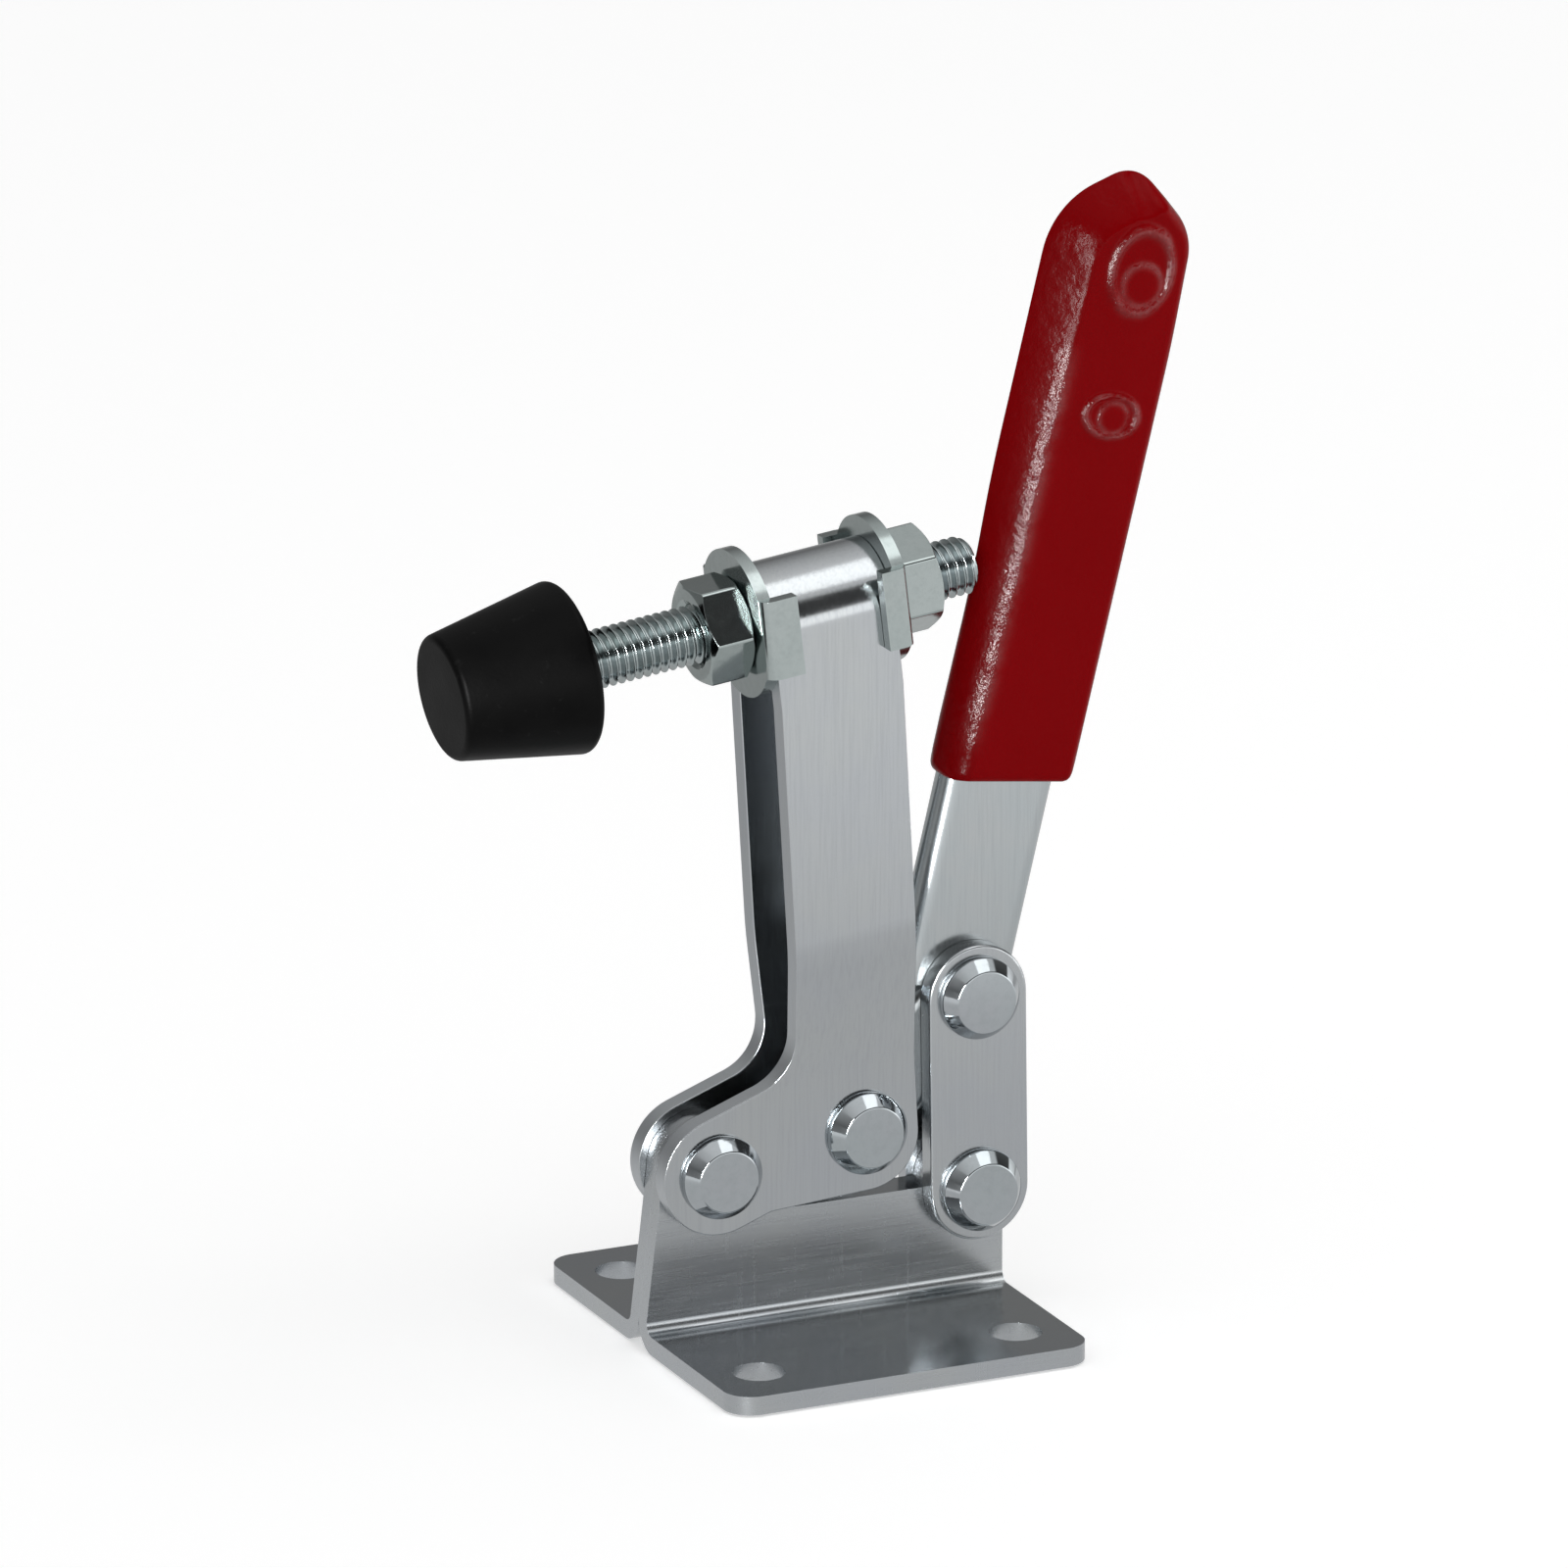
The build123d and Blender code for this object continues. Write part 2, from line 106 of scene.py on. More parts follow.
THREAD_D = 8.0
THREAD_PITCH = 1.25
THREAD_DEPTH_SHARE = 0.6134              # depth of a metric thread, in pitches
THREAD_CREST_R = THREAD_D / 2
THREAD_ROOT_R = THREAD_CREST_R - THREAD_DEPTH_SHARE * THREAD_PITCH
THREAD_FLANK_R = (THREAD_CREST_R + THREAD_ROOT_R) / 2
THREAD_CREST_EDGE_R = THREAD_CREST_R - 0.05
THREAD_ROOT_EDGE_R = THREAD_ROOT_R + 0.06
# (share of the pitch, radius): crest, falling flank, root, rising flank
THREAD_PROFILE = ((0.0, THREAD_CREST_EDGE_R), (0.03, THREAD_CREST_R), (0.11, THREAD_CREST_R),
                  (0.14, THREAD_CREST_EDGE_R), (0.29, THREAD_FLANK_R), (0.43, THREAD_ROOT_EDGE_R),
                  (0.5, THREAD_ROOT_R), (0.64, THREAD_ROOT_R), (0.71, THREAD_ROOT_EDGE_R),
                  (0.85, THREAD_FLANK_R))
THREAD_STEPS = 56        # points a turn

# places along the spindle are counted from the middle of the bar's fold, positive to the rear
TIP_FACE = 53.7          # front face of the rubber, ahead of the fold's middle
TIP_LENGTH = 18.7
TIP_REAR = -TIP_FACE + TIP_LENGTH
TIP_FRONT_D = 17.0
TIP_REAR_D = 24.0
TIP_ROUND = 1.1
TIP_DISH = 0.15          # the front face is a little hollow
TIP_COVER = 5.0          # rubber ahead of the spindle's head
COLLAR_ROUND = 0.7
COLLAR_WIDTH = 1.0       # flat rubber around the rod
MOUTH_DEPTH = 1.0
MOUTH_GAP = 0.25         # room around the rod where it enters
BORE_GAP = 0.1
BORE_START = 3.0         # the bore begins this far in
HEAD_H = 5.3
HEAD_CORNERS_D = 13.0
HEAD_FRONT = -TIP_FACE + TIP_COVER
HEAD_SOCKET_R = 7.54     # the rubber's pocket for the head
HEAD_SOCKET_GAP = 0.2
SHANK_OVERLAP = 0.1      # the shank runs this far into the head
THREAD_START = TIP_REAR - 1.5
SHANK_TAPER = (-0.3, 0.2)                # its end narrows to the thread's root, about THREAD_START
THREAD_END = 23.7
THREAD_END_CHAMFER = 0.8

NUT_AF = 13.0
NUT_H = 6.5
NUT_BORE_D = 8.1
NUT_FACE_D = 12.4        # round where the chamfer meets the face
NUT_TURNS = {"front_nut": 0.0, "rear_nut": 24.0}   # degrees about the spindle
NUT_CHAMFER_SLOPE = tan(radians(30))
NUT_CORNER_WEAR = 0.1
NUT_BORE_RINGS = ((0.0, 0.75), (0.6, 0.1), (0.75, 0.0))   # beyond the bore, under the face
NUT_FACE_RINGS = ((-0.06, 0.0), (0.06, 0.05))             # beyond the face's round, under the face
NUT_SIDE_RINGS = ((0.05, -0.02), (0.0, 0.06))             # inside the side, under the chamfer
# angles of a side's points in degrees from its corner, closer together at both corners
NUT_SIDE_ANGLES = (0.0, 0.8, 1.6, 2.4, 4, 6, 9, 12, 16, 20, 25, 30,
                   35, 40, 44, 48, 51, 54, 56, 57.6, 58.4, 59.2)

# ---- grip: outline and rounding, from the handle's pivot, (across, along) the lever ------------
HANDLE_LEAN = 13.5       # degrees
GRIP_OUTLINE = ((0.6, 48.6), (0.5, 76.0), (-0.25, 90.0), (0.0, 128.1),
                (10.9, 135.2), (20.5, 127.5), (21.05, 112.0), (20.7, 50.7))
GRIP_ROUNDS = (2.4, 250.0, 250.0, 12.0, 5.0, 8.0, 200.0, 2.6)
GRIP_HALF = 4.9          # half of its thickness
GRIP_LEVELS = (57.0, 85.0, 116.0)        # heights along the lever for the next three rows
GRIP_FRONT_R = (4.0, 4.7, 5.6)           # how far in the front edge's rounding reaches
GRIP_FRONT_POWER = (1.6, 1.25, 1.12)     # 2 is round, 1 is a flat bevel
GRIP_RIDGE = (2.7, 4.1, 5.3)             # polished ridge, from the front edge
GRIP_RIDGE_WIDTH = 1.2
GRIP_POLISH_LEVELS = (53, 60, 66.5, 69, 71.5, 103, 111)
GRIP_POLISH = (0, 0.9, 1, 0.5, 1, 1, 0)  # share of polish at those heights along the ridge
GRIP_REAR_R = 2.3
GRIP_RIM_R = 1.3
GRIP_RIM_POWER = 3.0
# skin over the lever's two holes: middle and half sizes of the ring, middle and radius of the disc
GRIP_BOSSES = (((12.7, 121.5), (5.0, 6.4), (13.2, 119.6), 3.1),
               ((13.0, 101.5), (4.4, 3.2), (13.3, 101.3), 2.3))
RING_HEIGHT = 0.45
RING_MIDDLE = 0.88       # shares of the ring's half sizes
RING_WIDTH = 0.11
DISC_HEIGHT = 0.3
DISC_RIM_MIDDLE = 0.92   # shares of the disc's radius
DISC_RIM_WIDTH = 0.15
DISC_RIM_POLISH = 0.7
GRIP_COLUMNS = 88
GRIP_EDGE_CLOSENESS = 0.6                # share by which columns crowd at both edges
GRIP_RIM_SHARES = (0.0, 0.0008, 0.0025, 0.005, 0.009, 0.014)
GRIP_BODY_SHARES = (0.02, 0.93, 280)     # first, last, count
GRIP_TIP_ROWS = 30
GRIP_SKIRT = 10.0        # the front and rear edges' distance lines run on below the grip
GRIP_CORNER_ZONE = 3.0   # what lies lower belongs to the bottom edge
GRIP_POINT_GAP = 0.5

# points closer than these become one
PLATE_WELD = 0.001
THREAD_WELD = 0.002
GRIP_WELD = 0.004


# ---- mesh helpers ------------------------------------------------------------------------------
def linked(piece):
    """The object, placed in the scene."""
    bpy.context.scene.collection.objects.link(piece)
    return piece


def smooth_by_angle(mesh, angle=30.0):
    """Smooth shading with edges steeper than angle kept sharp."""
    mesh.polygons.foreach_set("use_smooth", [True] * len(mesh.polygons))
    mesh.set_sharp_from_angle(angle=radians(angle))


def piece_from(bm, name, body, nodes, slot, smooth_below):
    """A bmesh becomes a named piece that rides a body and stands for CAD nodes."""
    bmesh.ops.recalc_face_normals(bm, faces=bm.faces)
    mesh = bpy.data.meshes.new(name)
    bm.to_mesh(mesh)
    bm.free()
    smooth_by_angle(mesh, smooth_below)
    piece = linked(bpy.data.objects.new(name, mesh))
    mesh.materials.append(LOOKS[slot])
    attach(piece, body)
    if nodes:
        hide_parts(*nodes)
    return piece


def weigh_normals(piece):
    """Large faces shade flat and the narrow bevels between them take the bend."""
    piece.modifiers.new("weighted_normals", "WEIGHTED_NORMAL").keep_sharp = True


def rounded(points, radii, steps=6):
    """A polyline with its inner corners rounded: radii has one value for each inner point."""
    line = [Vector(points[0])]
    for before, corner, after, radius in zip(points, points[1:], points[2:], radii):
        corner = Vector(corner)
        arm_a = (Vector(before) - corner).normalized()
        arm_b = (Vector(after) - corner).normalized()
        half = arm_a.angle(arm_b) / 2
        reach = radius / tan(half)
        centre = corner + (arm_a + arm_b).normalized() * (radius / sin(half))
        start = corner + arm_a * reach - centre
        turn = pi - 2 * half
        toward = corner - centre
        sense = 1 if start.x * toward.y - start.y * toward.x > 0 else -1
        for step in range(steps + 1):
            angle = sense * turn * step / steps
            line.append(centre + Vector((start.x * cos(angle) - start.y * sin(angle),
                                         start.x * sin(angle) + start.y * cos(angle))))
    line.append(Vector(points[-1]))
    return [(point.x, point.y) for point in line]


def axes(origin, along):
    """Matrix whose z axis is along and whose x axis is as near to upright as it can be."""
    z = along.normalized()
    x = (UP - z * UP.dot(z)).normalized()
    y = z.cross(x)
    matrix = Matrix((x, y, z)).transposed().to_4x4()
    matrix.translation = origin
    return matrix


def polar(bm, place, radius, angle, at):
    """A new vertex at a radius, an angle and a height in mm about the z axis of place."""
    return bm.verts.new(place @ Vector((radius * MM * cos(angle), radius * MM * sin(angle),
                                        at * MM)))


def lathe(bm, profile, place, segments=72):
    """Turns a profile of (radius, height) in mm about the z axis of place."""
    rings = []
    for radius, height in profile:
        if radius == 0:
            rings.append([polar(bm, place, 0.0, 0.0, height)])
        else:
            rings.append([polar(bm, place, radius, 2 * pi * i / segments, height)
                          for i in range(segments)])
    for low, high in zip(rings, rings[1:]):
        for i in range(segments):
            j = (i + 1) % segments
            corners = dict.fromkeys((low[i % len(low)], low[j % len(low)],
                                     high[j % len(high)], high[i % len(high)]))
            if len(corners) > 2:
                bm.faces.new(list(corners))


def strip(bm, low, high):
    """Faces between two rings of the same count."""
    for i in range(len(low)):
        j = (i + 1) % len(low)
        bm.faces.new((low[i], low[j], high[j], high[i]))


# ---- materials ---------------------------------------------------------------------------------
class Nodes:
    """A node tree, built by short calls. A value is a number, a colour or another node's socket."""

    def __init__(self, owner):
        owner.use_nodes = True
        self.tree = owner.node_tree

    def node(self, kind, inputs=None, **settings):
        """A new node with its settings and its inputs given."""
        made = self.tree.nodes.new(kind)
        for key, value in settings.items():
            setattr(made, key, value)
        for key, value in (inputs or {}).items():
            self.give(made.inputs[key], value)
        return made

    def give(self, socket, value):
        """Links or sets an input."""
        if isinstance(value, bpy.types.NodeSocket):
            self.tree.links.new(value, socket)
        else:
            socket.default_value = value

    def ramp(self, value, low, high, low_out=0.0, high_out=1.0, **settings):
        """The value, carried from low..high to low_out..high_out and held at both ends."""
        inputs = {"Value": value, "From Min": low, "From Max": high,
                  "To Min": low_out, "To Max": high_out}
        return self.node("ShaderNodeMapRange", inputs, **settings).outputs["Result"]

    def ease(self, value, low, high, low_out=0.0, high_out=1.0):
        """A ramp that starts and ends softly."""
        return self.ramp(value, low, high, low_out, high_out, interpolation_type="SMOOTHSTEP")

    def math(self, operation, a, b=0.0):
        return self.node("ShaderNodeMath", {0: a, 1: b}, operation=operation).outputs[0]

    def times(self, a, b):
        return self.math("MULTIPLY", a, b)

    def dot(self, a, b):
        return self.node("ShaderNodeVectorMath", {0: a, 1: b},
                         operation="DOT_PRODUCT").outputs["Value"]

    def mix(self, factor, a, b):
        """Colour between a and b."""
        return self.node("ShaderNodeMix", {0: factor, 6: a, 7: b}, data_type="RGBA").outputs[2]

    def split(self, vector):
        return self.node("ShaderNodeSeparateXYZ", {"Vector": vector}).outputs


class Shader(Nodes):
    """A new material around the Principled shader, placed by object coordinates."""

    def __init__(self, name):
        self.material = bpy.data.materials.new(name)
        super().__init__(self.material)
        self.place = self.node("ShaderNodeTexCoord").outputs["Object"]

    def noise(self, scale, detail=3.0, roughness=0.5, vector=None):
        inputs = {"Vector": vector or self.place, "Scale": scale, "Detail": detail,
                  "Roughness": roughness}
        return self.node("ShaderNodeTexNoise", inputs).outputs["Fac"]

    def grain(self, scales, detail, roughness):
        """Noise with its own scale on each axis."""
        stretched = self.node("ShaderNodeMapping", {"Vector": self.place, "Scale": scales})
        return self.noise(1.0, detail, roughness, stretched.outputs["Vector"])

    def bump(self, height, distance, normal=None):
        inputs = {"Height": height, "Distance": distance, "Strength": 1.0}
        if normal:
            inputs["Normal"] = normal
        return self.node("ShaderNodeBump", inputs).outputs["Normal"]

    def finish(self, **inputs):
        """Gives the Principled shader its inputs and returns the material."""
        principled = self.tree.nodes["Principled BSDF"]
        for key, value in inputs.items():
            self.give(principled.inputs[key.replace("_", " ")], value)
        return self.material


def shade(colour, factor):
    """The colour, darker or lighter by a factor."""
    return [min(1.0, channel * factor) for channel in colour[:3]] + [1.0]


# zinc plate's recipe: factors on the tone, shares mixed into it, and added roughness
DULL, BRIGHT = 0.84, 1.2
ROLLED_SHARE, SPECK_SHARE, EDGE_SHARE, CUT_SHARE = 0.5, 0.2, 0.5, 0.3
ROLLED_ROUGH, SCUFF_ROUGH, CUT_ROUGH = (-0.03, 0.04), 0.06, 0.25
SCUFF_STRETCH = 0.35     # scuffs run across the grain and are this much coarser
RUBBED_WIDTH = 0.0004    # of edges
CUT_FADE = 0.001
PLATE_BUMP = 0.000006
FINE_BUMP = 0.000003


def zinc(name, tone, warm, rough, grain, bump=PLATE_BUMP, cut_below=None, flat_shine=None):
    """Bright zinc plate: two tints, rolling marks along grain, scuffs and rubbed edges.

    cut_below is a height in metres: under it, faces that look away from the sides are cut edges.
    flat_shine is how much smoother the faces that look up are.
    """
    s = Shader(name)
    dull, bright = shade(tone, DULL), shade(tone, BRIGHT)
    cloud = s.noise(scale=55.0, detail=4.0, roughness=0.6)
    rolled = s.grain(grain, detail=4.0, roughness=0.65)
    speck = s.noise(scale=2300.0, detail=2.0)
    scuff_grain = [scale * SCUFF_STRETCH for scale in reversed(grain)]
    scuff = s.ramp(s.grain(scuff_grain, detail=5.0, roughness=0.7), 0.6, 0.72)
    colour = s.mix(s.ramp(cloud, 0.35, 0.65), tone, warm)
    colour = s.mix(s.times(s.ramp(rolled, 0.45, 0.8), ROLLED_SHARE), colour, dull)
    colour = s.mix(s.times(s.ramp(speck, 0.62, 0.75), SPECK_SHARE), colour, dull)
    true_normal = s.node("ShaderNodeNewGeometry").outputs["Normal"]
    worn_normal = s.node("ShaderNodeBevel", {"Radius": RUBBED_WIDTH}, samples=4).outputs["Normal"]
    edge = s.times(s.ramp(s.dot(worn_normal, true_normal), 0.98, 0.8), s.ramp(cloud, 0.3, 0.6))
    colour = s.mix(s.times(edge, EDGE_SHARE), colour, bright)
    roughness = s.ramp(rolled, 0.3, 0.7, *(rough + change for change in ROLLED_ROUGH))
    roughness = s.math("ADD", roughness, s.times(scuff, SCUFF_ROUGH))
    height = s.math("ADD", rolled, s.times(speck, 0.4))
    facing = s.split(s.node("ShaderNodeVectorTransform", {"Vector": true_normal},
                            vector_type="NORMAL", convert_from="WORLD",
                            convert_to="OBJECT").outputs["Vector"])
    if flat_shine:
        lying = s.ramp(facing["Z"], 0.7, 0.95, 0.0, flat_shine)
        roughness = s.math("SUBTRACT", roughness, lying)
    if cut_below:
        off_side = s.ramp(s.math("ABSOLUTE", facing["Y"]), 0.5, 0.2)
        low = s.ramp(s.split(s.place)["Z"], cut_below, cut_below - CUT_FADE)
        cut = s.times(off_side, low)
        colour = s.mix(s.times(cut, CUT_SHARE), colour, bright)
        roughness = s.math("ADD", roughness, s.times(cut, CUT_ROUGH))
    return s.finish(Base_Color=colour, Metallic=1.0, Roughness=roughness,
                    Normal=s.bump(height, bump))


def red_vinyl():
    """Dipped vinyl: satin faces, and a wrinkled polish where the mesh's polish value is high."""
    s = Shader("red_vinyl")
    cloud = s.noise(scale=35.0)
    colour = s.mix(s.ramp(cloud, 0.3, 0.7),
                   (0.275, 0.0012, 0.003, 1), (0.245, 0.0008, 0.0022, 1))
    polish = s.node("ShaderNodeAttribute", attribute_name="polish").outputs["Fac"]
    peel = s.noise(scale=620.0, roughness=0.55)
    swell = s.noise(scale=120.0, detail=2.0)
    wrinkle = s.noise(scale=1500.0, roughness=0.6)
    normal = s.bump(swell, 0.0003)
    normal = s.bump(peel, 0.00012, normal)
    normal = s.bump(s.times(wrinkle, polish), 0.00028, normal)
    patches = s.ramp(s.noise(scale=260.0, roughness=0.6), 0.32, 0.5, 0.25, 1.0)
    return s.finish(Base_Color=colour, Roughness=s.ramp(peel, 0.3, 0.7, 0.16, 0.24),
                    Normal=normal, Specular_IOR_Level=0.035,
                    Coat_Weight=s.times(polish, patches), Coat_Roughness=0.16,
                    Coat_IOR=1.5, Coat_Normal=normal)


def black_rubber():
    """Moulded rubber: dull, with a fine grain and a little dust."""
    s = Shader("black_rubber")
    grain = s.noise(scale=1900.0, detail=4.0, roughness=0.6)
    cloud = s.noise(scale=140.0)
    colour = s.mix(s.ramp(cloud, 0.35, 0.65), (0.001, 0.001, 0.0011, 1), (0.003, 0.003, 0.003, 1))
    dust = s.ramp(s.noise(scale=420.0, detail=5.0, roughness=0.7), 0.62, 0.74)
    colour = s.mix(s.times(dust, 0.2), colour, (0.05, 0.05, 0.05, 1))
    return s.finish(Base_Color=colour, Roughness=s.ramp(cloud, 0.3, 0.7, 0.38, 0.46),
                    Normal=s.bump(grain, 0.00002), Specular_IOR_Level=0.065)


COOL = (0.425, 0.447, 0.47, 1)
WARM = (0.442, 0.462, 0.468, 1)
BLUE = (0.41, 0.45, 0.465, 1)
GREEN = (0.33, 0.376, 0.37, 1)
PALE_GREEN = (0.365, 0.405, 0.4, 1)
GREY = (0.4, 0.4, 0.41, 1)
WARM_GREY = (0.44, 0.43, 0.42, 1)
UPRIGHT_GRAIN = (2600.0, 2600.0, 90.0)   # noise scales by axis: rolling marks run where it is low
LYING_GRAIN = (90.0, 2600.0, 2600.0)
TURNED_GRAIN = (500.0, 1500.0, 1500.0)
BUSH_GRAIN = (300.0, 2500.0, 300.0)
HEAD_GRAIN = (700.0, 700.0, 700.0)
EVEN_GRAIN = (900.0, 900.0, 900.0)

LOOKS = {
    "zinc_base": zinc("zinc_base", COOL, WARM, 0.25, LYING_GRAIN, flat_shine=0.1),
    "zinc_bar": zinc("zinc_bar", COOL, WARM, 0.15, UPRIGHT_GRAIN, cut_below=0.094),
    "zinc_lever": zinc("zinc_lever", BLUE, WARM, 0.2, UPRIGHT_GRAIN),
    "zinc_link": zinc("zinc_link", COOL, WARM, 0.22, UPRIGHT_GRAIN),
    "zinc_rivet": zinc("zinc_rivet", BLUE, COOL, 0.07, HEAD_GRAIN, FINE_BUMP),
    "zinc_thread": zinc("zinc_thread", GREEN, BLUE, 0.16, TURNED_GRAIN, FINE_BUMP),
    "zinc_nut": zinc("zinc_nut", GREEN, PALE_GREEN, 0.1, EVEN_GRAIN, FINE_BUMP),
    "zinc_washer": zinc("zinc_washer", GREEN, PALE_GREEN, 0.16, EVEN_GRAIN, FINE_BUMP),
    "bush_steel": zinc("bush_steel", GREY, WARM_GREY, 0.3, BUSH_GRAIN),
    "red_vinyl": red_vinyl(),
    "black_rubber": black_rubber(),
}


# ---- plates: the solids with their stamped edges broken ----------------------------------------
FLAT_ANGLE = 0.5         # degrees between faces that are one flat face
EDGE_ANGLE = 28.0        # degrees from which an edge is broken
EDGE_STEPS = 3
ROUND_PROFILE = 0.5


def softened(node, slot, width):
    """A copy of a CAD node with its sharp edges rounded by width."""
    bm = bmesh.new()
    bm.from_mesh(frame["nodes"][node].data)
    bmesh.ops.remove_doubles(bm, verts=bm.verts, dist=PLATE_WELD * MM)
    bmesh.ops.dissolve_limit(bm, angle_limit=radians(FLAT_ANGLE), verts=bm.verts, edges=bm.edges)
    sharp = [edge for edge in bm.edges
             if len(edge.link_faces) == 2 and edge.calc_face_angle(0.0) > radians(EDGE_ANGLE)]
    bmesh.ops.bevel(bm, geom=sharp, offset=width * MM, offset_type="OFFSET", segments=EDGE_STEPS,
                    profile=ROUND_PROFILE, affect="EDGES", clamp_overlap=True)
    weigh_normals(piece_from(bm, node + "_plated", body_of(node), [node], slot,
                             smooth_below=35.0))


for node, slot, width in (
        ("base_near_half", "zinc_base", 0.22),
        ("base_far_half", "zinc_base", 0.22),
        ("u_bar", "zinc_bar", 0.25),
        ("handle_lever", "zinc_lever", 0.2),
        ("front_washer", "zinc_washer", 0.25),
        ("rear_washer", "zinc_washer", 0.25)):
    softened(node, slot, width)

# these show as the solids are
for node, slot in (
        ("near_link", "zinc_link"),
        ("far_link", "zinc_link"),
        ("bar_pivot_bush", "bush_steel"),
        ("handle_pivot_bush", "bush_steel"),
        ("link_top_bush", "bush_steel"),
        ("link_foot_bush", "bush_steel")):
    cad_mesh = frame["nodes"][node].data
    cad_mesh.materials.clear()
    cad_mesh.materials.append(LOOKS[slot])
    smooth_by_angle(cad_mesh)


# ---- rivets ------------------------------------------------------------------------------------
def rivet(name, node, centre, seat, foot=0.0, sides=(-1, 1)):
    """A shank from foot out to seat, and a head on it: low rim, coned side, flat top.

    seat and foot are measured from the middle plane. sides are -1 for near and 1 for far.
    """
    centre = Vector((centre.x, 0, centre.z))
    head = rounded([(RIVET_D / 2, seat), (RIVET_HEAD_D / 2, seat),
                    (RIVET_HEAD_D / 2, seat + RIVET_RIM_H),
                    (RIVET_TOP_D / 2, seat + RIVET_HEAD_H), (0.0, seat + RIVET_HEAD_H)],
                   RIVET_CORNER_ROUNDS)
    bm = bmesh.new()
    for side in sides:
        lathe(bm, [(0.0, foot), (RIVET_D / 2, foot)] + head,
              axes(centre, Vector((0, side, 0))), segments=96)
    piece_from(bm, name, body_of(node), [node], "zinc_rivet", smooth_below=40.0)


rivet("bar_rivet", "base_to_bar_rivet", BAR_PIVOT, BAR_SIDE)
rivet("handle_rivet", "bar_to_handle_rivet", HANDLE_PIVOT, BAR_SIDE)
rivet("link_top_rivet", "handle_to_link_rivet", LINK_TOP, LINK_SIDE)
rivet("near_foot_rivet", "near_link_foot_rivet", LINK_FOOT, LINK_SIDE, WEB_SIDE, sides=(-1,))
rivet("far_foot_rivet", "far_link_foot_rivet", LINK_FOOT, LINK_SIDE, WEB_SIDE, sides=(1,))

# ---- spindle: rolled thread, plain shank and hexagon head inside the rubber --------------------
spindle_place = axes(FOLD_MIDDLE, SPINDLE_AXIS)


def threaded_rod(start, end):
    """One helical strip from start to end, its crest cut down to a chamfer at the rear end."""
    bm = bmesh.new()
    rows = []
    for turn in range(ceil((end - start) / THREAD_PITCH) + 2):
        for share, radius in THREAD_PROFILE:
            row = []
            for step in range(THREAD_STEPS):
                at = start + (turn - 1 + share + step / THREAD_STEPS) * THREAD_PITCH
                chamfer = THREAD_CREST_R - THREAD_END_CHAMFER + max(0.0, end - at)
                row.append(polar(bm, spindle_place, min(radius, chamfer),
                                 2 * pi * step / THREAD_STEPS, min(max(at, start), end)))
            rows.append(row)
    for index, (row, following) in enumerate(zip(rows, rows[1:])):
        for step in range(THREAD_STEPS - 1):
            bm.faces.new((row[step], row[step + 1], following[step + 1], following[step]))
        # the last point of a row joins the first point of the row one turn on
        next_turn = index + len(THREAD_PROFILE)
        if next_turn + 1 < len(rows):
            bm.faces.new((rows[next_turn][0], rows[next_turn + 1][0], following[-1], row[-1]))
    bmesh.ops.dissolve_degenerate(bm, dist=THREAD_WELD * MM, edges=bm.edges)
    bmesh.ops.remove_doubles(bm, verts=bm.verts, dist=THREAD_WELD * MM)
    bmesh.ops.holes_fill(bm, edges=[edge for edge in bm.edges if edge.is_boundary], sides=0)
    piece_from(bm, "threaded_rod", "spindle", [], "zinc_thread", smooth_below=50.0)


def rod_head():
    """Plain shank and hexagon head, both inside the rubber."""
    bm = bmesh.new()
    shank_start = HEAD_FRONT + HEAD_H - SHANK_OVERLAP
    taper_start, taper_end = (THREAD_START + offset for offset in SHANK_TAPER)
    lathe(bm, [(0.0, shank_start), (THREAD_D / 2, shank_start), (THREAD_D / 2, taper_start),
               (THREAD_ROOT_R, taper_end), (0.0, taper_end)], spindle_place)
    low, high = ([polar(bm, spindle_place, HEAD_CORNERS_D / 2, 2 * pi * corner / 6, face)
                  for corner in range(6)] for face in (HEAD_FRONT, HEAD_FRONT + HEAD_H))
    strip(bm, low, high)
    bm.faces.new(low)
    bm.faces.new(high)
    piece_from(bm, "rod_head", "spindle", ["spindle"], "zinc_thread", smooth_below=40.0)


def rubber_cone():
    """Rubber tip: cone with rounded ends, moulded around the rod and its head."""
    rod_r = THREAD_D / 2
    profile = rounded([(0.0, -TIP_FACE + TIP_DISH), (TIP_FRONT_D / 2, -TIP_FACE),
                       (TIP_REAR_D / 2, TIP_REAR), (rod_r + COLLAR_WIDTH, TIP_REAR),
                       (rod_r + MOUTH_GAP, TIP_REAR - MOUTH_DEPTH)],
                      (TIP_ROUND, TIP_ROUND, COLLAR_ROUND), 8)
    socket_rear = HEAD_FRONT + HEAD_H + HEAD_SOCKET_GAP
    socket_front = HEAD_FRONT - HEAD_SOCKET_GAP
    profile += [(rod_r + BORE_GAP, TIP_REAR - BORE_START), (rod_r + BORE_GAP, socket_rear),
                (HEAD_SOCKET_R, socket_rear), (HEAD_SOCKET_R, socket_front), (0.0, socket_front)]
    bm = bmesh.new()
    lathe(bm, profile, spindle_place, segments=128)
    piece_from(bm, "rubber_cone", "spindle", ["rubber_tip"], "black_rubber", smooth_below=40.0)


threaded_rod(THREAD_START, THREAD_END)
rod_head()
rubber_cone()


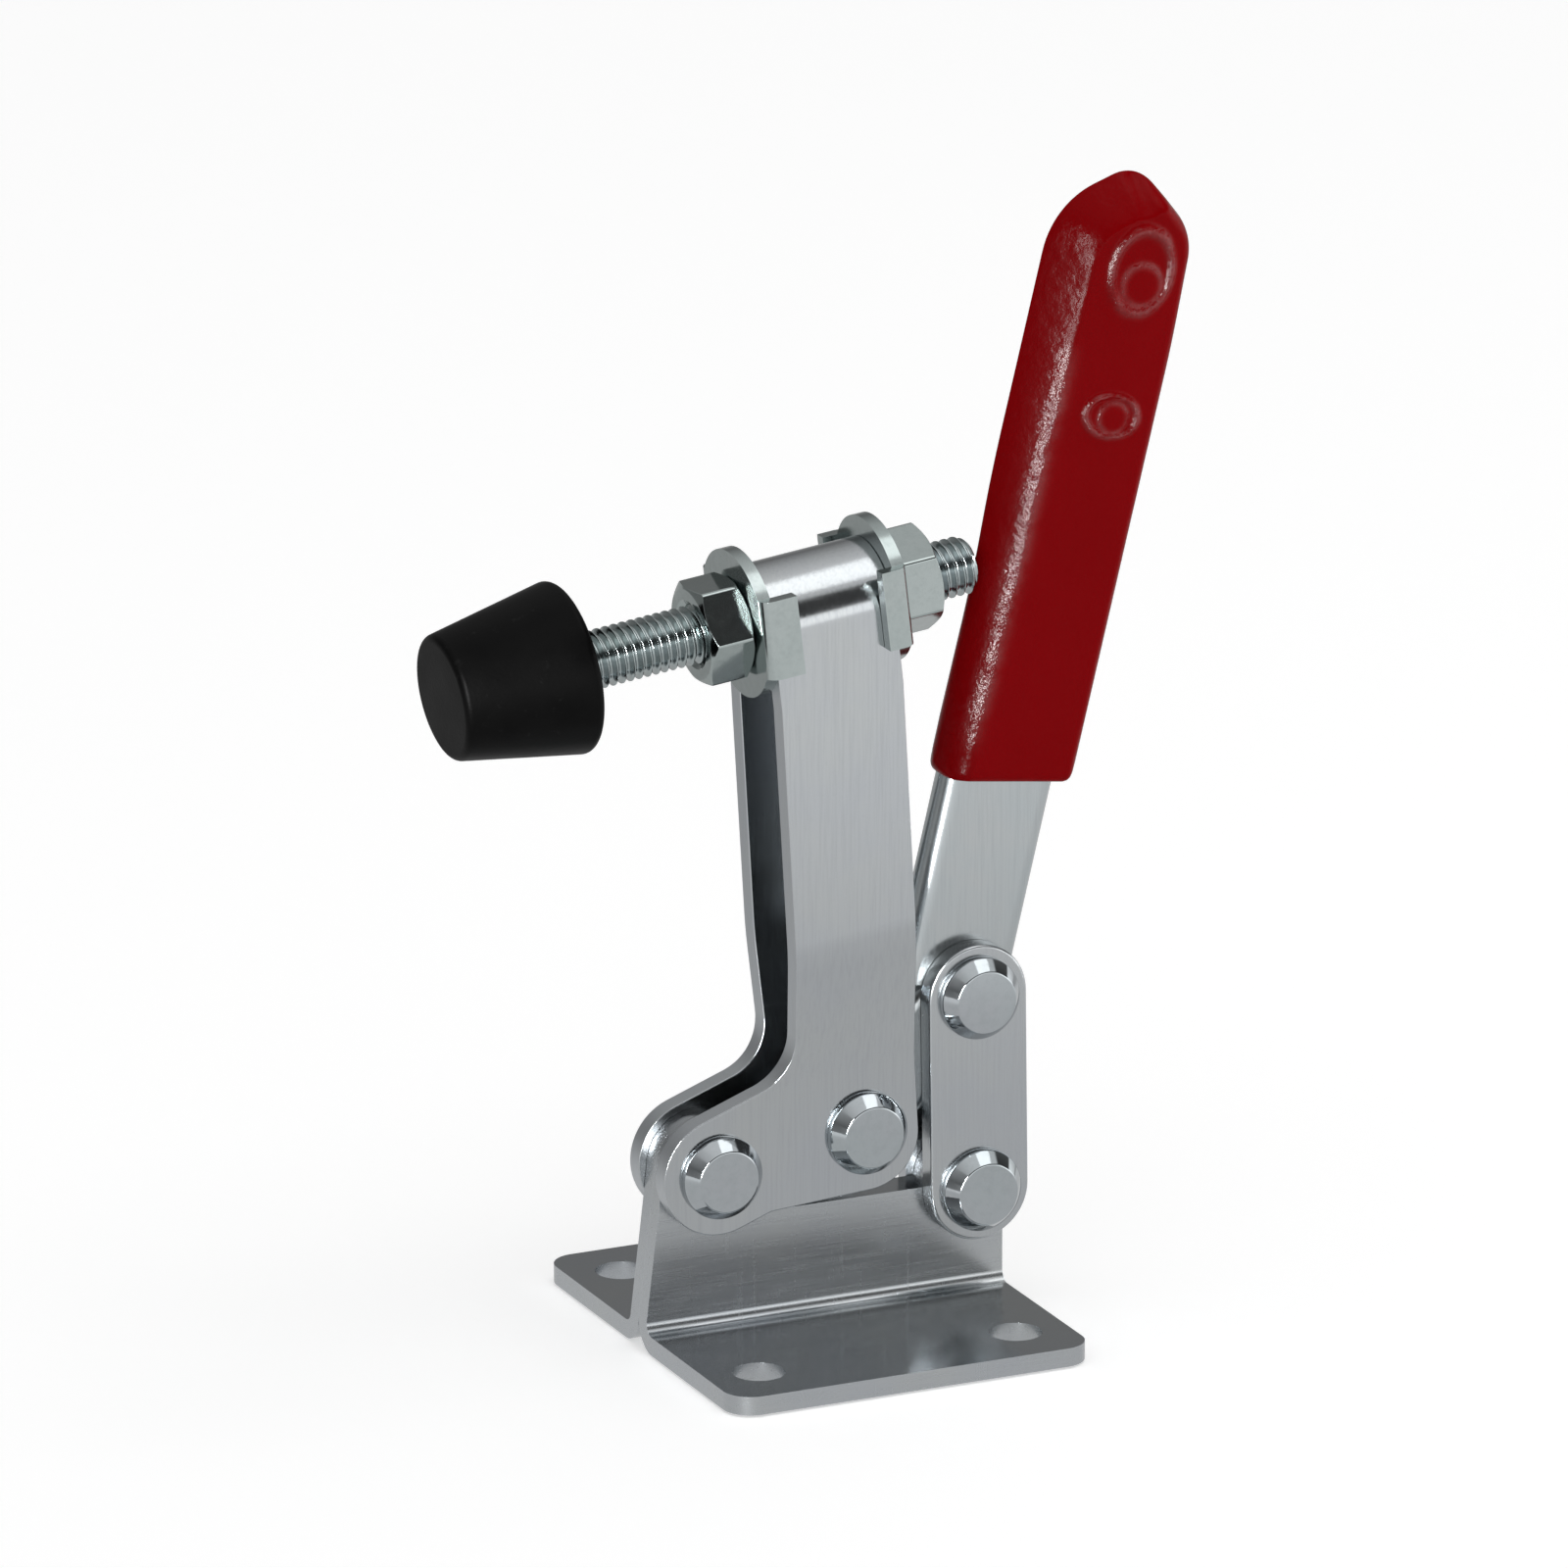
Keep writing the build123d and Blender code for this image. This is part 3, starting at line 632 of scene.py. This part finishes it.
# ---- nuts --------------------------------------------------------------------------------------
def nut(name, node, turn):
    """Hexagon nut with both faces chamfered to a round, worn corners and a countersunk bore."""
    angles = [radians(60 * side + step) for side in range(6) for step in NUT_SIDE_ANGLES]
    place = spindle_place @ Matrix.Rotation(radians(turn), 4, "Z")
    centre = (middle(node) - FOLD_MIDDLE).dot(SPINDLE_AXIS) / MM
    bore_r, face_r, flat_r = NUT_BORE_D / 2, NUT_FACE_D / 2, NUT_AF / 2
    reaches = [min(flat_r / cos((angle % (pi / 3)) - pi / 6),
                   flat_r / cos(pi / 6) - NUT_CORNER_WEAR) for angle in angles]
    # each ring has a (radius, depth under the face) for every angle, from the bore out to the side
    rings = [[(bore_r + beyond, depth)] * len(angles) for beyond, depth in NUT_BORE_RINGS]
    rings += [[(face_r + beyond, depth)] * len(angles) for beyond, depth in NUT_FACE_RINGS]
    rings += [[(reach - inset, (reach - face_r) * NUT_CHAMFER_SLOPE + drop) for reach in reaches]
              for inset, drop in NUT_SIDE_RINGS]
    bm = bmesh.new()
    front, rear = ([[polar(bm, place, radius, angle, face + inward * depth)
                     for angle, (radius, depth) in zip(angles, ring)] for ring in rings]
                   for face, inward in ((centre - NUT_H / 2, 1), (centre + NUT_H / 2, -1)))
    chain = front + rear[::-1]
    for before, after in zip(chain, chain[1:] + chain[:1]):
        strip(bm, before, after)
    weigh_normals(piece_from(bm, name, body_of(node), [node], "zinc_nut", smooth_below=24.0))


for node, turn in NUT_TURNS.items():
    nut(node.replace("nut", "hexagon_nut"), node, turn - 90)


# ---- grip: dipped vinyl over the lever ---------------------------------------------------------
def dense(line, gap=GRIP_POINT_GAP):
    """The same line with points at most gap apart."""
    out = [line[0]]
    for a, b in zip(line, line[1:]):
        parts = max(1, ceil(hypot(b[0] - a[0], b[1] - a[1]) / gap))
        out += [(a[0] + (b[0] - a[0]) * i / parts, a[1] + (b[1] - a[1]) * i / parts)
                for i in range(1, parts + 1)]
    return np.array(out)


def distance_to(line, points):
    """Distance from each point to a polyline."""
    a, b = line[:-1], line[1:]
    along = b - a
    length = (along ** 2).sum(1)
    share = np.clip(((points[:, None] - a) * along).sum(2) / length, 0, 1)
    nearest = a + share[..., None] * along
    return np.sqrt(((points[:, None] - nearest) ** 2).sum(2)).min(1)


def dome(distance, radius, power=2.0):
    """Height share of a rounded edge, 0 on the outline and 1 from radius inwards."""
    return (1 - (1 - np.clip(distance / radius, 0, 1)) ** power) ** (1 / power)


def bell(value, middle, width):
    """1 at the middle, falling smoothly to 0 over about two widths."""
    return np.exp(-((value - middle) / width) ** 2)


def grip_edges():
    """Front and rear halves of the outline, then lines to measure each edge's rounding from.

    The front and rear measuring lines run straight on past the bottom's corners.
    """
    (front_p, front_q), (rear_p, rear_q) = GRIP_OUTLINE[0], GRIP_OUTLINE[-1]
    closing = (((front_p + rear_p) / 2, (front_q + rear_q) / 2),)
    outline = rounded(closing + GRIP_OUTLINE + closing, GRIP_ROUNDS, 14)[1:-1]
    top = max(range(len(outline)), key=lambda i: outline[i][1])
    front, rear = outline[:top + 1], outline[top:][::-1]
    front_low, rear_low = front_q + GRIP_CORNER_ZONE, rear_q + GRIP_CORNER_ZONE
    front_edge = [(front_p, front_q - GRIP_SKIRT), (front_p, front_q)]
    front_edge += [p for p in front if p[1] > front_low]
    rear_edge = [(rear_p, rear_q - GRIP_SKIRT), (rear_p, rear_q)]
    rear_edge += [p for p in rear if p[1] > rear_low]
    bottom_edge = [p for p in outline[top:] if p[1] < rear_low]
    bottom_edge += [p for p in outline[:top] if p[1] < front_low]
    return [dense(line) for line in (front, rear, front_edge, rear_edge, bottom_edge)]


def grip_rows(front, rear):
    """Rows of (across, along) points from the front to the rear edge, lower end to tip."""
    crowded = (1 - np.cos(np.linspace(0, pi, GRIP_COLUMNS))) / 2
    even = np.linspace(0, 1, GRIP_COLUMNS)
    columns = crowded * GRIP_EDGE_CLOSENESS + even * (1 - GRIP_EDGE_CLOSENESS)
    tip_part = 1 - GRIP_BODY_SHARES[1]
    tip = [1 - tip_part * (1 - sin(pi / 2 * row / GRIP_TIP_ROWS))
           for row in range(1, GRIP_TIP_ROWS + 1)]
    top_q = front[-1][1]
    rows = []
    for share in list(GRIP_RIM_SHARES) + list(np.linspace(*GRIP_BODY_SHARES)) + tip:
        q_front = front[0][1] + share * (top_q - front[0][1])
        q_rear = rear[0][1] + share * (top_q - rear[0][1])
        p_front = np.interp(q_front, front[:, 1], front[:, 0])
        p_rear = np.interp(q_rear, rear[:, 1], rear[:, 0])
        rows.append(np.stack([p_front + columns * (p_rear - p_front),
                              q_front + columns * (q_rear - q_front)], axis=1))
    return rows


def grip_relief(rows, front_edge, rear_edge, bottom_edge):
    """Half thickness in mm and share of polish at every point of the rows."""
    flat = np.concatenate(rows)
    height = flat[:, 1]
    inward = distance_to(front_edge, flat)
    front_r, power, ridge = (np.interp(height, GRIP_LEVELS, values)
                             for values in (GRIP_FRONT_R, GRIP_FRONT_POWER, GRIP_RIDGE))
    rise = dome(inward, front_r, power) * dome(distance_to(rear_edge, flat), GRIP_REAR_R)
    rise *= dome(distance_to(bottom_edge, flat), GRIP_RIM_R, GRIP_RIM_POWER)
    level = GRIP_HALF * rise
    polish = bell(inward, ridge, GRIP_RIDGE_WIDTH) * np.interp(height, GRIP_POLISH_LEVELS,
                                                               GRIP_POLISH)
    for ring_middle, half_sizes, disc_middle, disc_r in GRIP_BOSSES:
        ring = bell(np.hypot(*((flat - ring_middle) / half_sizes).T), RING_MIDDLE, RING_WIDTH)
        disc = np.hypot(*(flat - disc_middle).T) / disc_r
        level += RING_HEIGHT * ring + DISC_HEIGHT * np.clip(1 - disc ** 4, 0, 1)
        rim = DISC_RIM_POLISH * bell(disc, DISC_RIM_MIDDLE, DISC_RIM_WIDTH)
        polish = np.maximum(polish, np.maximum(ring, rim))
    return (values.reshape(len(rows), GRIP_COLUMNS) for values in (level, polish))


def grip(name):
    """Two sheets, near and far, that meet along the outline. Each vertex carries its polish."""
    front, rear, *measuring_lines = grip_edges()
    rows = grip_rows(front, rear)
    level, polish = grip_relief(rows, *measuring_lines)
    lean = radians(HANDLE_LEAN)
    across = Vector((cos(lean), 0, -sin(lean)))
    upward = Vector((sin(lean), 0, cos(lean)))
    bm = bmesh.new()
    mark = bm.verts.layers.float.new("polish")
    for side in (-1, 1):
        sheet = []
        for row, depths, shares in zip(rows, level, polish):
            made = [bm.verts.new(HANDLE_PIVOT + (across * float(p) + upward * float(q)) * MM
                                 + Vector((0, side * float(depth) * MM, 0)))
                    for (p, q), depth in zip(row, depths)]
            for vert, share in zip(made, shares):
                vert[mark] = float(share)
            sheet.append(made)
        for low, high in zip(sheet, sheet[1:]):
            for i in range(GRIP_COLUMNS - 1):
                bm.faces.new((low[i], low[i + 1], high[i + 1], high[i]))
    bmesh.ops.remove_doubles(bm, verts=bm.verts, dist=GRIP_WELD * MM)
    piece_from(bm, name, "handle", ["hand_grip"], "red_vinyl", smooth_below=60.0)


grip("dipped_grip")

# ---- camera of the photograph ------------------------------------------------------------------
CAMERA_AZIMUTH = radians(-24.7)
CAMERA_ELEVATION = radians(17.4)
CAMERA_DISTANCE = 1.9
CAMERA_LENS = 326.2
SENSOR_WIDTH = 36.0
CLIP_NEAR, CLIP_FAR = 0.01, 20.0
CAMERA_TARGET = Vector((-0.00496, 0, 0.0766))


def aimed(made, location, look):
    """Places an object and turns its -Z axis along look."""
    made.location = location
    made.rotation_mode = "QUATERNION"
    made.rotation_quaternion = look.to_track_quat("-Z", "Y")
    return made


back = Vector((sin(CAMERA_AZIMUTH) * cos(CAMERA_ELEVATION),
               -cos(CAMERA_AZIMUTH) * cos(CAMERA_ELEVATION), sin(CAMERA_ELEVATION)))
camera_data = bpy.data.cameras.new("camera")
camera_data.lens = CAMERA_LENS
camera_data.sensor_width = SENSOR_WIDTH
camera_data.clip_start = CLIP_NEAR
camera_data.clip_end = CLIP_FAR
camera = aimed(linked(bpy.data.objects.new("camera", camera_data)),
               CAMERA_TARGET + back * CAMERA_DISTANCE, -back)
bpy.context.scene.camera = camera
bpy.context.scene.view_settings.view_transform = "Standard"


# ---- lamps -------------------------------------------------------------------------------------
def lamp(name, centre, size, watts, aim=(0, 0, 0.07)):
    """A rectangular lamp that the camera doesn't see."""
    data = bpy.data.lights.new(name, "AREA")
    data.shape = "RECTANGLE"
    data.size, data.size_y = size
    data.energy = watts
    made = aimed(linked(bpy.data.objects.new(name, data)), centre, Vector(aim) - Vector(centre))
    made.visible_camera = False
    return made


lamp("overhead_box", centre=(0.3, -0.18, 0.95), size=(0.6, 0.36), watts=0.85)
left_strip = lamp("left_strip", centre=(-0.495, -0.60, 0.3), size=(0.06, 0.56), watts=11.0,
                  aim=(0, 0, 0.25))
left_strip.visible_diffuse = False       # it only draws the highlights
lamp("right_fill", centre=(0.9, -0.7, 0.35), size=(0.5, 0.6), watts=0.7)

# ---- studio around it: bands of brightness by height, which the plated metal reflects ----------
STUDIO_LEVEL = 1.8
STUDIO_FRONT = (0.42, -0.91, 0.0)        # direction from the clamp to the front of the studio
STUDIO_TURN = (-0.2, 0.35)               # the back bands pass into the front ones between these
# stops of (sine of elevation, level)
FRONT_BANDS = ((-1.0, 0.5), (-0.05, 0.52), (0.02, 0.98), (0.22, 0.98), (0.27, 0.035),
               (0.67, 0.035), (0.72, 0.48), (1.0, 0.56))
BACK_BANDS = ((-1.0, 0.3), (0.1, 0.15), (0.3, 0.11), (0.6, 0.25), (0.85, 0.42), (1.0, 0.56))
WHITE = (1, 1, 1, 1)


def bands(nodes, height, stops):
    """Colour of the studio by height."""
    blend = nodes.node("ShaderNodeValToRGB", {"Fac": nodes.ramp(height, -1.0, 1.0)})
    elements = blend.color_ramp.elements
    for index, (sine, level) in enumerate(stops):
        inner = 0 < index < len(stops) - 1
        element = elements.new((sine + 1) / 2) if inner else elements[0 if index == 0 else -1]
        element.color = (level, level, level, 1)
    return blend.outputs["Color"]


world = bpy.data.worlds.new("studio")
bpy.context.scene.world = world
studio = Nodes(world)
studio.tree.nodes.clear()
direction = studio.node("ShaderNodeTexCoord").outputs["Generated"]
rise = studio.split(direction)["Z"]
frontness = studio.ease(studio.dot(direction, STUDIO_FRONT), *STUDIO_TURN)
banded = studio.mix(frontness, bands(studio, rise, BACK_BANDS), bands(studio, rise, FRONT_BANDS))
grey = studio.node("ShaderNodeRGBToBW", {"Color": banded}).outputs[0]
is_camera = studio.node("ShaderNodeLightPath").outputs["Is Camera Ray"]
strength = studio.node("ShaderNodeMix", {0: is_camera, 2: studio.times(grey, STUDIO_LEVEL), 3: 1.0},
                       data_type="FLOAT").outputs[0]
glow = studio.node("ShaderNodeBackground", {"Color": WHITE, "Strength": strength}).outputs[0]
studio.node("ShaderNodeOutputWorld", {"Surface": glow})

# ---- floor: pale, keeps the shadow; in the metal's reflections it has painted shade, darker near the clamp and behind it ---
FLOOR_HALF = 4.0
FLOOR_Z = -0.0003
FLOOR_COLOUR = (0.86, 0.86, 0.86, 1)
FLOOR_LIFT = 0.42                        # added for the camera's own rays only
PAINTED_SHADE_NEAR = (0.08, 0.32, 0.73, 1.05)   # painted shade near the clamp, seen only in the metal: distance from, to, level from, to
GLOSSY_REAR = (0.03, 0.2, 1.0, 0.5)      # the same by distance behind the clamp: darker behind it

bm = bmesh.new()
bmesh.ops.create_grid(bm, x_segments=1, y_segments=1, size=FLOOR_HALF)
floor_mesh = bpy.data.meshes.new("floor")
bm.to_mesh(floor_mesh)
bm.free()
floor = linked(bpy.data.objects.new("floor", floor_mesh))
floor.location.z = FLOOR_Z
pale_floor = bpy.data.materials.new("pale_floor")
paint = Nodes(pale_floor)
paint.tree.nodes.clear()
rays = paint.node("ShaderNodeLightPath").outputs
spot = paint.node("ShaderNodeTexCoord").outputs["Object"]
away = paint.node("ShaderNodeVectorMath", {0: spot}, operation="LENGTH").outputs["Value"]
# painted shade: the floor that the metal reflects glows less near the clamp, in place of the clamp's
# shadow, and less behind the clamp
tone = paint.times(paint.ease(away, *PAINTED_SHADE_NEAR), paint.ease(paint.split(spot)["Y"], *GLOSSY_REAR))
seen_in_metal = paint.node("ShaderNodeEmission", {
    "Color": WHITE, "Strength": paint.times(rays["Is Glossy Ray"], tone)}).outputs[0]
lift = paint.node("ShaderNodeEmission", {
    "Color": WHITE, "Strength": paint.times(rays["Is Camera Ray"], FLOOR_LIFT)}).outputs[0]
matte = paint.node("ShaderNodeBsdfDiffuse", {"Color": FLOOR_COLOUR}).outputs[0]
lifted = paint.node("ShaderNodeAddShader", {0: matte, 1: lift}).outputs[0]
surface = paint.node("ShaderNodeMixShader",
                     {0: rays["Is Glossy Ray"], 1: lifted, 2: seen_in_metal}).outputs[0]
paint.node("ShaderNodeOutputMaterial", {"Surface": surface})
floor_mesh.materials.append(pale_floor)
